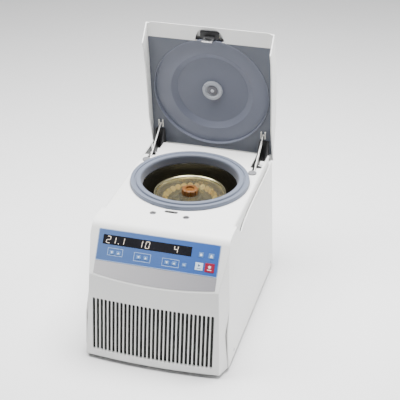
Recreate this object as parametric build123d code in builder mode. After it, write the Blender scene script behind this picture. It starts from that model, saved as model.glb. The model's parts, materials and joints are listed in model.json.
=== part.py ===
"""Refrigerated bench-top laboratory microcentrifuge with its lid standing open.

Millimetres, +Z up, front towards -Y.  The origin is under the middle of the machine, on the bench.
The lid is drawn on planes that lie at its hinge and stand open, so its local Y and Z are those of the
closed lid: local Y runs to the back and local Z runs up when the lid is shut.
"""

import os
from math import atan, cos, degrees, radians, sin

from build123d import *

os.makedirs("parts", exist_ok=True)

# ---------------------------------------------------------------- driving dimensions
FOOT_H = 8.0  # the housing's lower edge above the bench
DECK_Z = 269.0  # top deck
HALF_BASE = 145.0  # half width at the lower edge
SIDE_TAPER = 0.04  # each side leans in, mm per mm of height
FRONT_Y = -228.0  # side edges of the front face, at the lower edge
FRONT_LEAN = 0.0995  # the front leans back, mm per mm of height
FRONT_BULGE = 8.0  # bow of the front face at the lower edge
BULGE_FALL = 0.021  # bow lost per mm of height
CORNER_X, CORNER_Y = 11.7, 33.3  # bevelled front corners, in plan
REAR_Y = 193.0
WALL = 3.0
KINK_Y, KINK_Z = -210.7, 182.0  # the crease where the fascia starts to lean back
FASCIA_LEAN = 31.7  # degrees from vertical
SHOULDER_R = 24.0  # round between fascia and deck
PLATEAU_X = 130.0  # half width of the raised deck between the side ledges
GAP = 0.8  # seam between covers
SHEET = 2.5  # side panels
EPS = 0.05  # air between neighbouring inner pieces

SIDE_SCREWS = [(-156, 12), (172, 12)]  # back and up from the panel's lower edge

AXIS_Y = 38.0  # rotor axis
HINGE_Y, HINGE_Z = 185.0, 244.6
LID_OPEN = 83.3  # degrees
LID_X = 133.3  # half width of the lid
LID_FRONT, LID_REAR = -299.0, 5.0  # in the lid's own Y
LINER_Z = 28.4  # underside of the lid's liner, in the lid's own Z
LID_DISC_Y = AXIS_Y - HINGE_Y
CROWN = 62.5  # highest line of the lid, in its own Z

SLOT_COUNT, SLOT_PITCH, SLOT_W, SLOT_H, SLOT_Z = 30, 8.07, 5.5, 111.0, 77.5
ARM_X0, ARM_X1 = 103.5, 124.5  # lid arms
STAY_X = 112.0  # stay rods
LATCH_Y = -91.0

FASCIA = radians(FASCIA_LEAN)
TILT = radians(LID_OPEN)
UP_SLOPE = Vector(0, sin(FASCIA), cos(FASCIA))
OUT_FASCIA = Vector(0, -cos(FASCIA), sin(FASCIA))
fascia = Plane(origin=(0, KINK_Y, KINK_Z), x_dir=(1, 0, 0), z_dir=OUT_FASCIA)
lid = Plane(origin=(0, HINGE_Y, HINGE_Z), x_dir=(1, 0, 0), z_dir=(0, sin(TILT), cos(TILT)))
lid_side = Plane(origin=(0, HINGE_Y, HINGE_Z), x_dir=(0, cos(TILT), -sin(TILT)), z_dir=(1, 0, 0))


def half_width(z):
    """Half width of the housing at a height."""
    return HALF_BASE - SIDE_TAPER * (z - FOOT_H)


def side_plane(side, inset=0.0):
    """The leaning face of one side: local X runs to the back, local Y up the slope."""
    lean = atan(SIDE_TAPER)
    normal = Vector(side * cos(lean), 0, sin(lean))
    foot = Vector(side * HALF_BASE, 0, FOOT_H) - normal * inset
    return Plane(origin=foot, x_dir=(0, 1, 0) if side > 0 else (0, -1, 0), z_dir=normal)


def write(piece, name):
    """Label one finished piece and write it."""
    piece.part.label = name
    export_step(piece.part, f"parts/{name}.step")


# ---------------------------------------------------------------- the housing's outer form
def plan_face(z, inset):
    """Plan outline at a height: bowed front, bevelled front corners, straight sides."""
    half = half_width(z) - inset
    front = FRONT_Y + FRONT_LEAN * (z - FOOT_H) + inset
    bulge = FRONT_BULGE - BULGE_FALL * (z - FOOT_H)
    corner = half - CORNER_X
    with BuildSketch(Plane.XY.offset(z)) as plan:
        with BuildLine():
            ThreePointArc((-corner, front), (0, front - bulge), (corner, front))
            Polyline(
                (corner, front),
                (half, front + CORNER_Y),
                (half, REAR_Y - inset),
                (-half, REAR_Y - inset),
                (-half, front + CORNER_Y),
                (-corner, front),
            )
        make_face()
    return plan.sketch.faces()[0]


def side_profile(inset):
    """Side outline: fascia slope, rounded shoulder and flat deck."""
    run = 118.0
    low = Vector(KINK_Y, KINK_Z) - Vector(sin(FASCIA), cos(FASCIA)) * run
    rise = (DECK_Z - KINK_Z) / cos(FASCIA)
    crest = Vector(KINK_Y + rise * sin(FASCIA), DECK_Z)
    shift = Vector(cos(FASCIA), -sin(FASCIA)) * inset
    drop = inset * (1 - sin(FASCIA)) / cos(FASCIA)
    crest = Vector(crest.X + drop, DECK_Z - inset)
    low = low + shift
    with BuildSketch(Plane.YZ) as outline:
        with BuildLine():
            FilletPolyline(
                (low.X, low.Y),
                (crest.X, crest.Y),
                (REAR_Y + 20, DECK_Z - inset),
                radius=SHOULDER_R - inset,
            )
            Polyline(
                (REAR_Y + 20, DECK_Z - inset),
                (REAR_Y + 20, -20),
                (low.X, -20),
                (low.X, low.Y),
            )
        make_face()
    return outline.sketch


LEDGE_LINE = [(-113, 271), (-81, 239.5), (-59, 246.5), (-17, 251.8), (42, 254)]


def ledge_profile(drop):
    """Space above one side ledge, seen from the side."""
    with BuildSketch(Plane.YZ) as outline:
        with BuildLine():
            Polyline(
                *[(y - drop, z - drop) for y, z in LEDGE_LINE],
                (REAR_Y + 20, LEDGE_LINE[-1][1] - drop),
                (REAR_Y + 20, 290),
                (LEDGE_LINE[0][0] - drop, 290),
                close=True,
            )
        make_face()
    return outline.sketch


def housing_form(inset, low_z):
    """The housing as a closed form, shrunk by an inset."""
    top_z = 300.0
    with BuildPart() as form:
        loft([plan_face(low_z, inset), plan_face(top_z, inset)], ruled=True)
        extrude(side_profile(inset), amount=200, both=True, mode=Mode.INTERSECT)
        space = ledge_profile(inset)
        for start in (PLATEAU_X - inset, -PLATEAU_X + inset - 40):
            extrude(space.moved(Location((start, 0, 0))), amount=40, mode=Mode.SUBTRACT)
    return form


# ---------------------------------------------------------------- side panels
def seam_profile(side, grow):
    """One side panel's outline on its leaning face; grow widens it by the seam."""
    mark = 1 if side > 0 else -1
    front = [(-199 - grow, -5 - grow), (-199 - grow, 75), (-171 - grow, 150), (-134 - grow, 209)]
    front += [(-84 - grow, 222 + grow), (-78, LEDGE_LINE[1][1] - FOOT_H + 0.6 + grow)]
    top = [(y, z - FOOT_H + grow) for y, z in LEDGE_LINE[2:]]
    top += [(REAR_Y + grow, LEDGE_LINE[-1][1] - FOOT_H + grow), (REAR_Y + grow, -5 - grow)]
    with BuildSketch(side_plane(side)) as outline:
        with BuildLine():
            Polyline(*[(mark * y, z) for y, z in front + top], close=True)
        make_face()
        bends = outline.vertices().filter_by(lambda v: v.Y < -120 and v.Z > 40)
        fillet(bends, radius=45)
    return outline.sketch


def side_panel(side):
    """Painted steel side panel with its two screw holes."""
    with BuildPart() as panel:
        extrude(seam_profile(side, 0), amount=-SHEET)
        with BuildSketch(side_plane(side)):
            with Locations(*[(side * y, z) for y, z in SIDE_SCREWS]):
                Circle(2.2)
        extrude(amount=-SHEET, mode=Mode.SUBTRACT)
        split(bisect_by=Plane.XY.offset(FOOT_H), keep=Keep.TOP)
    return panel


side_panel_left = side_panel(-1)
write(side_panel_left, "side_panel_left")
side_panel_right = side_panel(1)
write(side_panel_right, "side_panel_right")


# ---------------------------------------------------------------- main cover
CHAMBER_R = 104.0  # hole in the deck
FOIL_X, FOIL_LOW, FOIL_HIGH = 118.8, 27.8, 88.2  # key foil, up the slope from the crease
WINDOW = (-108.5, 65.0, 59.7, 77.7)  # display: left, right, low, high
KEY_DEPTH = 2.0
PADS = [(-33.0, LATCH_Y - 12), (33.0, LATCH_Y - 12)]  # sunk pads that the lid's nose rests on
PAD_HOLE_R = 6.5
LATCH_SLOT_W = 8.4
KEYS = {
    "key_speed_down": (-88.0, 45.5, 9, 7),
    "key_speed_up": (-75.0, 45.5, 9, 7),
    "key_time_down": (-35.0, 44.0, 9, 7),
    "key_time_up": (-21.0, 44.0, 9, 7),
    "key_temperature_down": (20.5, 42.5, 9, 7),
    "key_temperature_up": (34.5, 42.5, 9, 7),
    "key_program": (54.0, 42.5, 8, 7),
    "key_pulse": (83.5, 65.9, 9, 9),
    "key_lid": (103.0, 65.9, 11, 9),
    "key_start": (82.5, 44.0, 15, 14),
    "key_stop": (102.5, 44.0, 18, 17),
}

with BuildPart() as main_cover:
    add(housing_form(0, FOOT_H).part)
    rim = main_cover.edges().filter_by(lambda e: abs(e.center().X) > 118 and e.center().Z > 262)
    plateau = rim.filter_by(lambda e: e.center().Y > -110 and e.length > 100)
    fillet(plateau, radius=5)
    add(housing_form(WALL, FOOT_H - 5).part, mode=Mode.SUBTRACT)
    for side in (-1, 1):
        extrude(seam_profile(side, GAP), amount=-(WALL + 1.5), mode=Mode.SUBTRACT)
    with BuildSketch(Plane.XZ.offset(-(REAR_Y - 10))):  # open back
        with Locations((0, 133)):
            Rectangle(2 * half_width(100) + 20, 266)
    extrude(amount=-40, mode=Mode.SUBTRACT)
    with BuildSketch(Plane.XZ.offset(190)):  # air inlet grille
        with Locations((0, SLOT_Z)):
            with GridLocations(SLOT_PITCH, 0, SLOT_COUNT, 1):
                SlotOverall(SLOT_H, SLOT_W, rotation=90)
    extrude(amount=60, mode=Mode.SUBTRACT)
    with BuildSketch(Plane.XY.offset(DECK_Z)):
        with Locations((0, AXIS_Y)):
            Circle(CHAMBER_R)
        with Locations((0, LATCH_Y)):
            SlotOverall(27, LATCH_SLOT_W)
        with Locations(*PADS):
            Circle(PAD_HOLE_R)
        with Locations((-STAY_X, 150), (STAY_X, 150)):
            Rectangle(8, 73)
    extrude(amount=-20, mode=Mode.SUBTRACT)
    for side in (-1, 1):  # notches for the lid arms
        with BuildSketch(Plane.XY.offset(DECK_Z + 5)):
            with Locations((side * (ARM_X0 + ARM_X1) / 2, 170)):
                Rectangle(ARM_X1 - ARM_X0 + 2, 80)
        extrude(amount=-60, mode=Mode.SUBTRACT)
    with BuildSketch(fascia):  # display opening
        with Locations(((WINDOW[0] + WINDOW[1]) / 2, (WINDOW[2] + WINDOW[3]) / 2)):
            Rectangle(WINDOW[1] - WINDOW[0] + 0.2, WINDOW[3] - WINDOW[2] + 0.2)
    extrude(amount=-8, mode=Mode.SUBTRACT)
    with BuildSketch(fascia):
        for x, up, wide, high in KEYS.values():
            with Locations((x, up)):
                RectangleRounded(wide + 0.4, high + 0.4, 1.2)
    extrude(amount=-KEY_DEPTH, mode=Mode.SUBTRACT)
write(main_cover, "main_cover")


# ---------------------------------------------------------------- rear panel, base and feet
NOTCH_Z = 231.0

with BuildPart() as rear_panel:
    with BuildSketch(Plane.XZ.offset(-(REAR_Y - SHEET))):
        with BuildLine():
            low, high = half_width(FOOT_H) - WALL - 1, half_width(NOTCH_Z) - WALL - 1
            Polyline(
                (-low, FOOT_H + 3), (low, FOOT_H + 3), (high, NOTCH_Z), (ARM_X0 - 3, NOTCH_Z),
                (ARM_X0 - 3, DECK_Z - WALL - GAP), (-ARM_X0 + 3, DECK_Z - WALL - GAP),
                (-ARM_X0 + 3, NOTCH_Z), (-high, NOTCH_Z), close=True,
            )
        make_face()
        with Locations((45, 160)):  # air outlet
            with GridLocations(0, 9, 1, 12):
                SlotOverall(70, 4, mode=Mode.SUBTRACT)
        with Locations((-70, 45)):  # mains inlet
            Rectangle(28, 21, mode=Mode.SUBTRACT)
        with Locations((-70, 80)):  # power switch
            Rectangle(28, 22, mode=Mode.SUBTRACT)
    extrude(amount=-SHEET)
write(rear_panel, "rear_panel")

TRAY_Z = FOOT_H + 1.0
TRAY_X, TRAY_FRONT, TRAY_BACK = 135.5, -205.0, 189.5
with BuildPart() as base_tray:
    with BuildSketch(Plane.XY.offset(TRAY_Z)):
        with Locations((0, (TRAY_FRONT + TRAY_BACK) / 2)):
            Rectangle(2 * TRAY_X, TRAY_BACK - TRAY_FRONT)
    extrude(amount=14)
    with BuildSketch(Plane.XY.offset(TRAY_Z + 2)):
        with Locations((0, (TRAY_FRONT + TRAY_BACK) / 2)):
            Rectangle(2 * TRAY_X - 4, TRAY_BACK - TRAY_FRONT - 4)
    extrude(amount=14, mode=Mode.SUBTRACT)
    with BuildSketch(Plane.XY.offset(TRAY_Z)):
        with Locations((0, AXIS_Y)):
            with GridLocations(60, 8, 1, 6):
                SlotOverall(60, 3.5)
    extrude(amount=3, mode=Mode.SUBTRACT)
    with BuildSketch(Plane.XY.offset(TRAY_Z)):
        with GridLocations(230, 340, 2, 2):
            Circle(2.6)
    extrude(amount=3, mode=Mode.SUBTRACT)
write(base_tray, "base_tray")

with BuildPart() as rubber_feet:
    with BuildSketch(Plane.XY):
        with GridLocations(230, 340, 2, 2):
            Circle(14)
    extrude(amount=TRAY_Z, taper=4)
    with BuildSketch(Plane.XY.offset(TRAY_Z)):
        with GridLocations(230, 340, 2, 2):
            Circle(2.5)
    extrude(amount=3.2)
write(rubber_feet, "rubber_feet")

with BuildPart() as panel_screws:
    for side in (-1, 1):
        with BuildSketch(side_plane(side)):
            with Locations(*[(side * y, z) for y, z in SIDE_SCREWS]):
                Circle(2.1)
        extrude(amount=-(SHEET + 0.6))
        with BuildSketch(side_plane(side)):
            with Locations(*[(side * y, z) for y, z in SIDE_SCREWS]):
                Circle(3.8)
        extrude(amount=1.2, taper=35)
write(panel_screws, "panel_screws")

# ---------------------------------------------------------------- control panel
FOIL_T = 0.5
with BuildPart() as control_foil:
    with BuildSketch(fascia):
        with Locations((0, (FOIL_LOW + FOIL_HIGH) / 2)):
            RectangleRounded(2 * FOIL_X, FOIL_HIGH - FOIL_LOW, 2)
        with Locations(((WINDOW[0] + WINDOW[1]) / 2, (WINDOW[2] + WINDOW[3]) / 2)):
            Rectangle(WINDOW[1] - WINDOW[0] + 0.2, WINDOW[3] - WINDOW[2] + 0.2, mode=Mode.SUBTRACT)
        for x, up, wide, high in KEYS.values():
            with Locations((x, up)):
                RectangleRounded(wide + 0.4, high + 0.4, 1.2, mode=Mode.SUBTRACT)
    extrude(amount=FOIL_T)
write(control_foil, "control_foil")

BAND_END, BAND_MID = 3.0, -6.5  # lower edge of the plain band, which follows the bowed crease
with BuildPart() as fascia_foil:
    with BuildSketch(fascia):
        with BuildLine():
            Polyline(
                (-FOIL_X, BAND_END), (-FOIL_X, FOIL_LOW - 0.5),
                (FOIL_X, FOIL_LOW - 0.5), (FOIL_X, BAND_END),
            )
            ThreePointArc((-FOIL_X, BAND_END), (0, BAND_MID), (FOIL_X, BAND_END))
        make_face()
    extrude(amount=FOIL_T)
write(fascia_foil, "fascia_foil")

for name, (x, up, wide, high) in KEYS.items():
    with BuildPart() as key:
        with BuildSketch(fascia.offset(-KEY_DEPTH + 0.9)):
            with Locations((x, up)):
                RectangleRounded(wide, high, 1.1)
        extrude(amount=KEY_DEPTH - 0.9 + FOIL_T + 0.5)
        fillet(key.faces().sort_by(Axis(tuple(fascia.origin), tuple(OUT_FASCIA)))[-1].edges(), radius=0.35)
    write(key, name)

with BuildPart() as display_window:
    with BuildSketch(fascia.offset(-1.5)):
        with Locations(((WINDOW[0] + WINDOW[1]) / 2, (WINDOW[2] + WINDOW[3]) / 2)):
            Rectangle(WINDOW[1] - WINDOW[0], WINDOW[3] - WINDOW[2])
    extrude(amount=1.5 + FOIL_T + 0.1)
write(display_window, "display_window")

BOARD_DEPTH = 14.0
with BuildPart() as control_board:
    with BuildSketch(fascia.offset(-BOARD_DEPTH)):
        with Locations((0, 54)):
            Rectangle(226, 62)
            with GridLocations(214, 50, 2, 2):
                Circle(1.8, mode=Mode.SUBTRACT)
    extrude(amount=1.6)
    with BuildSketch(fascia.offset(-BOARD_DEPTH + 1.6)):
        with Locations((95, 52)):
            with GridLocations(22, 18, 2, 2):
                Rectangle(6, 6)
        with Locations((-20, 40)):
            Rectangle(14, 14)
    extrude(amount=3.2)
    with BuildSketch(fascia.offset(-BOARD_DEPTH + 1.6)):  # display units behind the window
        with Locations((-92, 68.7), (-24, 68.7), (42, 68.7)):
            Rectangle(38, 15)
    extrude(amount=8)
write(control_board, "control_board")

# ---------------------------------------------------------------- chamber
BOWL_R, BOWL_TOP, BOWL_FLOOR, BOWL_T = 95.5, 259.5, 152.0, 1.2
RING_R, RING_TOP = 120.8, 278.5
SEAL_LOW = BOWL_TOP + 0.6  # the seal's foot on the bowl's flange
axis_plane = Plane(origin=(0, AXIS_Y, 0), x_dir=(1, 0, 0), z_dir=(0, -1, 0))
SPIN_AXIS = Axis((0, AXIS_Y, 0), (0, 0, 1))

with BuildPart() as chamber_seal:
    with BuildSketch(axis_plane):
        with BuildLine():
            Polyline(
                (CHAMBER_R - 0.4, SEAL_LOW + 1.6), (CHAMBER_R - 0.4, DECK_Z + EPS),
                (RING_R - 1, DECK_Z + EPS),
                (RING_R, DECK_Z + 1.5), (RING_R - 1.6, RING_TOP - 1.6), (112.2, RING_TOP - 1.6),
                (111.3, RING_TOP - 4), (109.2, RING_TOP - 4), (108.2, RING_TOP - 1),
                (107.2, RING_TOP), (100.2, RING_TOP), (98.2, RING_TOP - 1.4), (97, RING_TOP - 4),
                (BOWL_R, BOWL_TOP + 2), (BOWL_R + 1, SEAL_LOW), (CHAMBER_R - 2, SEAL_LOW), close=True,
            )
        make_face()
    revolve(axis=SPIN_AXIS)
write(chamber_seal, "chamber_seal")

with BuildPart() as chamber_bowl:
    with BuildSketch(axis_plane):
        with BuildLine():
            FilletPolyline(
                (11, BOWL_FLOOR - BOWL_T), (BOWL_R + BOWL_T, BOWL_FLOOR - BOWL_T),
                (BOWL_R + BOWL_T, BOWL_TOP - BOWL_T), radius=13,
            )
            Polyline(
                (BOWL_R + BOWL_T, BOWL_TOP - BOWL_T), (102.4, BOWL_TOP - BOWL_T),
                (102.4, BOWL_TOP), (BOWL_R, BOWL_TOP),
            )
            FilletPolyline(
                (BOWL_R, BOWL_TOP), (BOWL_R, BOWL_FLOOR), (11, BOWL_FLOOR), radius=13 - BOWL_T,
            )
            Line((11, BOWL_FLOOR), (11, BOWL_FLOOR - BOWL_T))
        make_face()
    revolve(axis=SPIN_AXIS)
write(chamber_bowl, "chamber_bowl")

COIL_R, COIL_TUBE = 99.2, 2.2
with BuildPart() as evaporator_coil:
    for level in range(8):
        with BuildSketch(axis_plane):
            with Locations((COIL_R, 170 + level * 9.5)):
                Circle(COIL_TUBE)
        revolve(axis=SPIN_AXIS)
    with BuildSketch(Plane.XY.offset(170)):
        with Locations((0, AXIS_Y + COIL_R)):
            Circle(COIL_TUBE - 0.2)
    extrude(amount=7 * 9.5)
write(evaporator_coil, "evaporator_coil")

JACKET_TOP = BOWL_TOP - BOWL_T - 0.5
with BuildPart() as insulation_jacket:
    with BuildSketch(axis_plane):
        with BuildLine():
            Polyline(
                (11, 136), (102.7, 136), (102.7, JACKET_TOP), (101.6, JACKET_TOP), (101.6, 150.4),
                (11, 150.4), close=True,
            )
        make_face()
    revolve(axis=SPIN_AXIS)
write(insulation_jacket, "insulation_jacket")

with BuildPart() as armour_ring:
    with BuildSketch(axis_plane):
        with Locations((104.45, 194)):
            Rectangle(3.2, 112)
    revolve(axis=SPIN_AXIS)
write(armour_ring, "armour_ring")

# ---------------------------------------------------------------- drive
SHAFT_R = 6.0
MOTOR_R, MOTOR_LOW, MOTOR_HIGH = 56.0, 30.0, 120.0
with BuildPart() as motor_housing:
    with BuildSketch(axis_plane):
        with BuildLine():
            Polyline(
                (SHAFT_R + 2, MOTOR_LOW), (MOTOR_R - 4, MOTOR_LOW), (MOTOR_R, MOTOR_LOW + 5),
                (MOTOR_R, MOTOR_HIGH - 6), (MOTOR_R - 6, MOTOR_HIGH), (24, MOTOR_HIGH),
                (22, MOTOR_HIGH + 12), (12.1, MOTOR_HIGH + 12), (12.1, MOTOR_HIGH + 2),
                (SHAFT_R + 2, MOTOR_HIGH + 2), (SHAFT_R + 2, MOTOR_LOW + 14), (12.1, MOTOR_LOW + 12),
                (12.1, MOTOR_LOW + 2), (SHAFT_R + 2, MOTOR_LOW + 2), close=True,
            )
        make_face()
    revolve(axis=SPIN_AXIS)
write(motor_housing, "motor_housing")

with BuildPart() as motor_bearings:
    for low in (MOTOR_LOW + 2, MOTOR_HIGH + 2):
        with BuildSketch(Plane.XY.offset(low + EPS)):
            with Locations((0, AXIS_Y)):
                Circle(12)
                Circle(SHAFT_R + 0.04, mode=Mode.SUBTRACT)
        extrude(amount=9.8)
write(motor_bearings, "motor_bearings")

ROTOR_Z = 184.0
with BuildPart() as motor_shaft:
    with BuildSketch(Plane.XY.offset(MOTOR_LOW + 4)):
        with Locations((0, AXIS_Y)):
            Circle(SHAFT_R)
    extrude(amount=ROTOR_Z - MOTOR_LOW - 4)
    with BuildSketch(Plane.XY.offset(ROTOR_Z)):
        with Locations((0, AXIS_Y)):
            Circle(SHAFT_R)
    extrude(amount=30, taper=4)
write(motor_shaft, "motor_shaft")

with BuildPart() as motor_plate:
    with BuildSketch(Plane.XY.offset(25)):
        with Locations((0, AXIS_Y)):
            Circle(74)
            Circle(20, mode=Mode.SUBTRACT)
            with PolarLocations(66, 3, start_angle=90):
                Circle(3.1, mode=Mode.SUBTRACT)
    extrude(amount=5)
write(motor_plate, "motor_plate")

# ---------------------------------------------------------------- rotor
RIM_R, RIM_Z = 73.2, 245.3
DISH_R = 68.5
TUBE_COUNT, TUBE_TILT = 24, 45.0
TUBE_RING, TUBE_Z = 52.0, 229.0
BORE_R, BORE_L = 5.6, 33.0
OUT_DOWN = (0, 180 - TUBE_TILT, 0)  # turns +Z to point outwards and down
HIGH_END = (Align.CENTER, Align.CENTER, Align.MIN)
LOW_END = (Align.CENTER, Align.CENTER, Align.MAX)

with BuildPart() as rotor_body:
    with BuildSketch(axis_plane):
        with BuildLine():
            Polyline(
                (6.3, ROTOR_Z), (22, ROTOR_Z), (26, 190), (76, 190), (83, 197), (83, 204),
                (RIM_R, 236), (RIM_R, RIM_Z - 1), (RIM_R - 1, RIM_Z), (DISH_R + 1.2, RIM_Z),
                (DISH_R, RIM_Z - 1), (DISH_R, 240), (61, 238), (44, 221), (24, 221), (22, 240),
                (17, 240), (14, 219), (4.4, 219), (4.4, 214.2), close=True,
            )
        make_face()
    revolve(axis=SPIN_AXIS)
    with Locations((0, AXIS_Y, TUBE_Z)):
        with PolarLocations(TUBE_RING, TUBE_COUNT):
            Cylinder(BORE_R, BORE_L, rotation=OUT_DOWN, align=HIGH_END, mode=Mode.SUBTRACT)
            Cylinder(BORE_R, 3, rotation=OUT_DOWN, align=LOW_END, mode=Mode.SUBTRACT)
write(rotor_body, "rotor_body")

with BuildPart() as sample_tubes:
    with Locations((0, AXIS_Y, TUBE_Z)):
        with PolarLocations(TUBE_RING, TUBE_COUNT):
            Cylinder(BORE_R - 0.3, BORE_L - 1, rotation=OUT_DOWN, align=HIGH_END)
            Cylinder(BORE_R - 0.3, 4, rotation=OUT_DOWN, align=LOW_END)
    lift = 4 * sin(radians(TUBE_TILT))
    with Locations((0, AXIS_Y, TUBE_Z + lift)):
        with PolarLocations(TUBE_RING - lift, TUBE_COUNT):
            Cylinder(6.1, 3.1, rotation=OUT_DOWN, align=HIGH_END)
write(sample_tubes, "sample_tubes")

COVER_Z = 240.1
with BuildPart() as rotor_lid:
    with BuildSketch(Plane.XY.offset(COVER_Z)):
        with Locations((0, AXIS_Y)):
            Circle(DISH_R - 0.4)
            Circle(7.2, mode=Mode.SUBTRACT)
    extrude(amount=2.4)
    fillet(rotor_lid.edges().group_by(Axis.Z)[-1], radius=0.8)
write(rotor_lid, "rotor_lid")

KNOB_R = 17.0
with BuildPart() as rotor_knob:
    with BuildSketch(Plane.XY.offset(COVER_Z + 2.4 + EPS)):
        with Locations((0, AXIS_Y)):
            Circle(KNOB_R)
            with PolarLocations(KNOB_R + 1.5, 10):
                Circle(3, mode=Mode.SUBTRACT)
    extrude(amount=11)
    fillet(rotor_knob.edges().group_by(Axis.Z)[-1], radius=2)
    with BuildSketch(Plane.XY.offset(COVER_Z - 8)):
        with Locations((0, AXIS_Y)):
            Circle(7)
    extrude(amount=11)
    with BuildSketch(Plane.XY.offset(COVER_Z + 13.5)):
        with Locations((0, AXIS_Y)):
            Circle(9)
    extrude(amount=-4, mode=Mode.SUBTRACT)
write(rotor_knob, "rotor_knob")

# ---------------------------------------------------------------- cooling
COOL_X, COOL_LOW, COOL_HIGH = 112.0, 24.0, 132.0
COOL_Z = (COOL_LOW + COOL_HIGH) / 2
FAN_R = 44.0


def cooling_plane(y):
    """Upright plane at a depth, facing the front."""
    return Plane.XZ.offset(-y)


with BuildPart() as condenser_core:
    with BuildSketch(cooling_plane(-184)):
        with Locations((0, COOL_Z)):
            Rectangle(2 * COOL_X, COOL_HIGH - COOL_LOW)
    extrude(amount=20)
    with BuildSketch(cooling_plane(-196)):
        with Locations((0, COOL_Z)):
            with GridLocations(5, 0, 44, 1):
                Rectangle(3.4, COOL_HIGH - COOL_LOW - 6)
    extrude(amount=20, mode=Mode.SUBTRACT)
write(condenser_core, "condenser_core")

with BuildPart() as condenser_pipes:
    for side in (-1, 1):
        with BuildSketch(Plane.XY.offset(COOL_LOW + 8)):
            with Locations((side * (COOL_X + 5), -192)):
                Circle(4)
        extrude(amount=COOL_HIGH - COOL_LOW - 16)
        with BuildSketch(Plane.YZ.offset(side * (COOL_X + EPS))):
            with Locations((-192, COOL_Z)):
                with GridLocations(0, 22, 1, 4):
                    Circle(3)
        extrude(amount=side * 4)
write(condenser_pipes, "condenser_pipes")

with BuildPart() as fan_shroud:
    with BuildSketch(cooling_plane(-166)):
        with Locations((0, COOL_Z)):
            Rectangle(2 * COOL_X, COOL_HIGH - COOL_LOW)
            Circle(FAN_R + 3, mode=Mode.SUBTRACT)
    extrude(amount=3)
    with BuildSketch(cooling_plane(-140)):
        with Locations((0, COOL_Z)):
            Circle(FAN_R + 5)
            Circle(FAN_R + 3, mode=Mode.SUBTRACT)
    extrude(amount=26)
    with BuildSketch(cooling_plane(-140)):
        with Locations((0, COOL_Z)):
            Circle(18)
            with PolarLocations((FAN_R + 18) / 2 + 1, 3):
                Rectangle(FAN_R - 12, 6)
    extrude(amount=4)
    for side in (-1, 1):  # cheeks that close the space to the condenser
        with BuildSketch(cooling_plane(-169)):
            with Locations((side * (COOL_X - 1), COOL_Z)):
                Rectangle(2, COOL_HIGH - COOL_LOW)
        extrude(amount=15 - EPS)
write(fan_shroud, "fan_shroud")

with BuildPart() as fan_motor:
    with BuildSketch(cooling_plane(-144 - EPS)):
        with Locations((0, COOL_Z)):
            Circle(16)
    extrude(amount=8)
    with BuildSketch(cooling_plane(-152 - EPS)):
        with Locations((0, COOL_Z)):
            Circle(3)
    extrude(amount=10)
write(fan_motor, "fan_motor")

with BuildPart() as fan_blades:
    with BuildSketch(cooling_plane(-153)):
        with Locations((0, COOL_Z)):
            Circle(17)
    extrude(amount=11)
    with Locations((0, -158.5, COOL_Z)):
        with Locations(*[Location((0, 0, 0), (0, turn * 60, 0)) for turn in range(6)]):
            with Locations((FAN_R / 2 + 7, 0, 0)):
                Box(FAN_R - 16, 1.6, 20, rotation=(30, 0, 0))
    with BuildSketch(cooling_plane(-152)):
        with Locations((0, COOL_Z)):
            Circle(3.05)
    extrude(amount=10.2, mode=Mode.SUBTRACT)
write(fan_blades, "fan_blades")

COMP_X, COMP_Y, COMP_R = -62.0, -84.0, 45.0
with BuildPart() as compressor:
    with BuildSketch(Plane.XY.offset(20)):
        with Locations((COMP_X, COMP_Y)):
            Circle(COMP_R)
    extrude(amount=108)
    fillet(compressor.edges().group_by(Axis.Z)[-1], radius=20)
    fillet(compressor.edges().group_by(Axis.Z)[0], radius=8)
    with BuildSketch(Plane.XY.offset(70)):
        with Locations((COMP_X, COMP_Y)):
            Circle(COMP_R + 2)
    extrude(amount=4)
    with BuildSketch(Plane.XY.offset(18)):
        with Locations((COMP_X, COMP_Y)):
            RectangleRounded(90, 90, 10)
            with GridLocations(74, 74, 2, 2):
                Circle(4.1, mode=Mode.SUBTRACT)
    extrude(amount=3)
write(compressor, "compressor")

with BuildPart() as rubber_mounts:
    with BuildSketch(Plane.XY.offset(TRAY_Z + 2)):
        with Locations((0, AXIS_Y)):
            with PolarLocations(66, 3, start_angle=90):
                Circle(9)
    extrude(amount=25 - TRAY_Z - 2)
    with BuildSketch(Plane.XY.offset(25)):
        with Locations((0, AXIS_Y)):
            with PolarLocations(66, 3, start_angle=90):
                Circle(3)
    extrude(amount=8)
    with BuildSketch(Plane.XY.offset(TRAY_Z + 2)):
        with Locations((COMP_X, COMP_Y)):
            with GridLocations(74, 74, 2, 2):
                Circle(7)
    extrude(amount=18 - TRAY_Z - 2)
    with BuildSketch(Plane.XY.offset(18)):
        with Locations((COMP_X, COMP_Y)):
            with GridLocations(74, 74, 2, 2):
                Circle(4)
    extrude(amount=5)
write(rubber_mounts, "rubber_mounts")

with BuildPart() as inverter_box:
    with BuildSketch(Plane.XY.offset(TRAY_Z + 2)):
        with Locations((66, -86)):
            Rectangle(92, 78)
    extrude(amount=96)
    fillet(inverter_box.edges().filter_by(Axis.Z), radius=3)
    with BuildSketch(Plane.XY.offset(TRAY_Z + 98)):
        with Locations((66, -86)):
            with GridLocations(8, 0, 10, 1):
                SlotOverall(60, 3, rotation=90)
    extrude(amount=-3, mode=Mode.SUBTRACT)
write(inverter_box, "inverter_box")

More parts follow.
